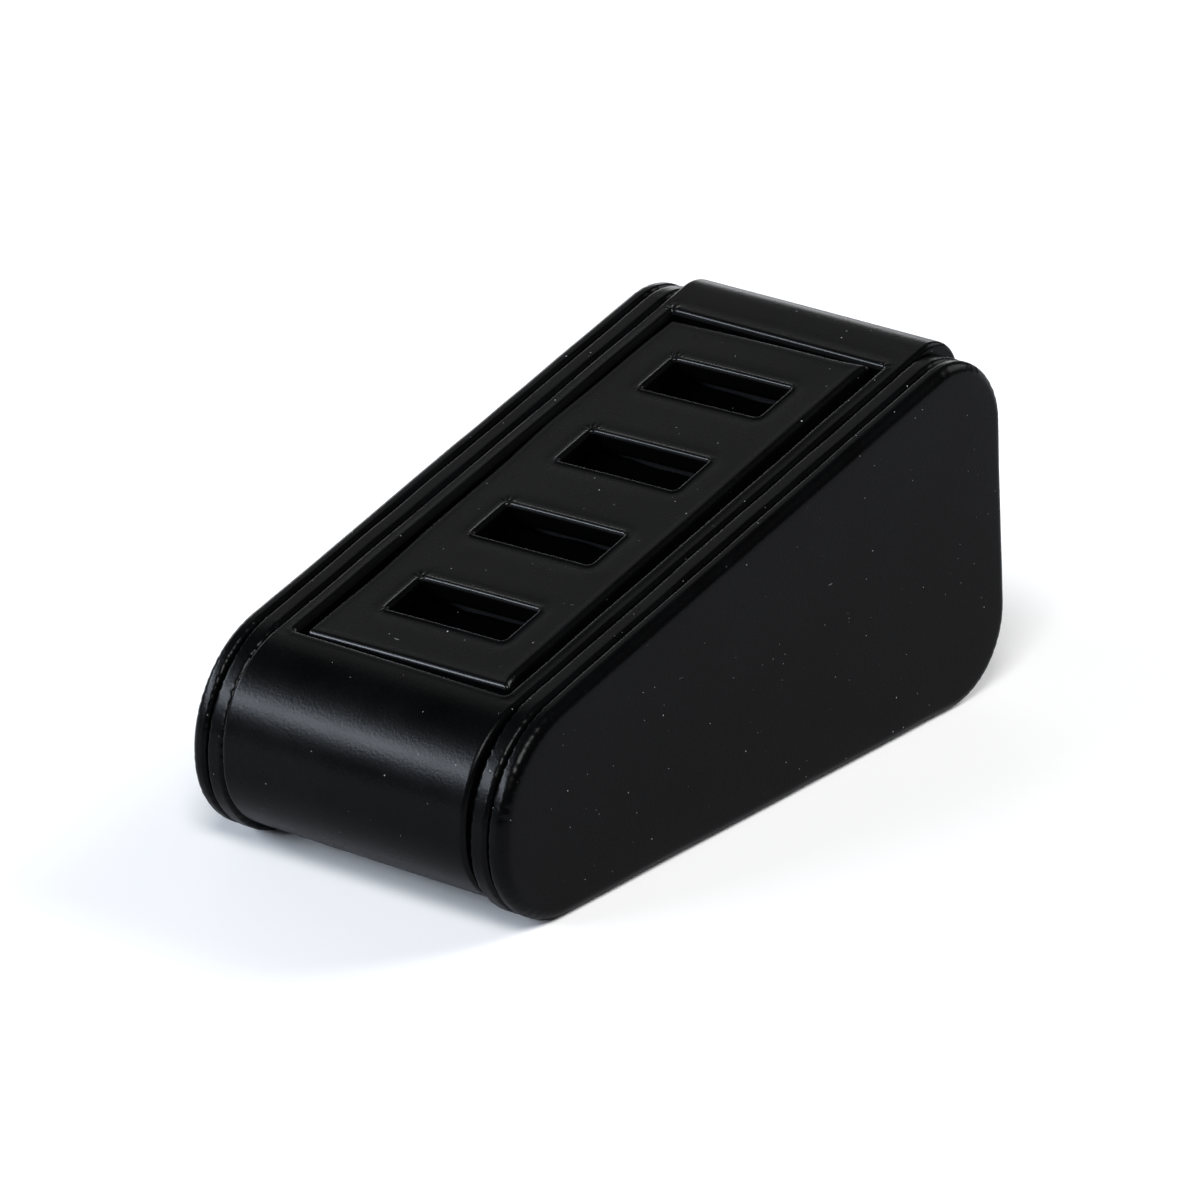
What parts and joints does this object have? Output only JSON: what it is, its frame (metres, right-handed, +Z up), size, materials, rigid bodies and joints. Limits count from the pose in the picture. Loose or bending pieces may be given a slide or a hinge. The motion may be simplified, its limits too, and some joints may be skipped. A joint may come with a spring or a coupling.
{
  "type": "ring display stand",
  "caption": "Sloping wedge stand wrapped in black leatherette, with a lift-out insert whose foam-lined slots hold finger rings upright.",
  "frame": {"origin": "on the table plane, under the middle of the whole stand", "axes": "+Y from the low rounded nose to the high back, +Z up, +X to the viewer's right when facing the nose"},
  "size_m": [0.0636, 0.1226, 0.0588],
  "materials": {
    "leatherette": "black coated leatherette, fine grain, satin",
    "roll_cover": "black brushed knit over foam, matt",
    "foam": "black closed-cell foam sheet, matt",
    "greyboard": "recycled grey board, raw",
    "fibreboard": "raw medium-density fibreboard",
    "pine": "planed softwood, unfinished",
    "felt": "black self-adhesive felt",
    "lining_paper": "black flocked paper"
  },
  "bodies": {
    "stand": {"inner_cheek_board_right": "fibreboard", "inner_cheek_board_left": "fibreboard", "inner_cheek_wrap_right": "leatherette", "inner_cheek_wrap_left": "leatherette", "outer_cheek_board_right": "greyboard", "outer_cheek_board_left": "greyboard", "outer_cheek_pad_right": "foam", "outer_cheek_pad_left": "foam", "outer_cheek_wrap_right": "leatherette", "outer_cheek_wrap_left": "leatherette", "side_board_right": "fibreboard", "side_board_left": "fibreboard", "nose_block": "pine", "rear_rail": "pine", "heel_block": "pine", "base_board": "fibreboard", "back_board": "fibreboard", "tray_lining": "lining_paper", "tray_floor": "fibreboard", "tray_batten_right": "pine", "tray_batten_left": "pine", "band_wrap": "leatherette", "base_felt": "felt"},
    "insert": {"insert_board": "greyboard", "insert_wrap": "leatherette", "insert_base": "greyboard", "slot_1_front_roll": "roll_cover", "slot_1_back_roll": "roll_cover", "slot_2_front_roll": "roll_cover", "slot_2_back_roll": "roll_cover", "slot_3_front_roll": "roll_cover", "slot_3_back_roll": "roll_cover", "slot_4_front_roll": "roll_cover", "slot_4_back_roll": "roll_cover", "foam_spacer_1": "foam", "foam_spacer_2": "foam", "foam_spacer_3": "foam", "foam_spacer_4": "foam", "foam_spacer_5": "foam"}
  },
  "joints": [
    {"name": "insert_lift", "type": "slide", "parent": "stand", "child": "insert", "axis": [0, -0.2433, 0.97], "range_m": [0, 0.02]}
  ]
}
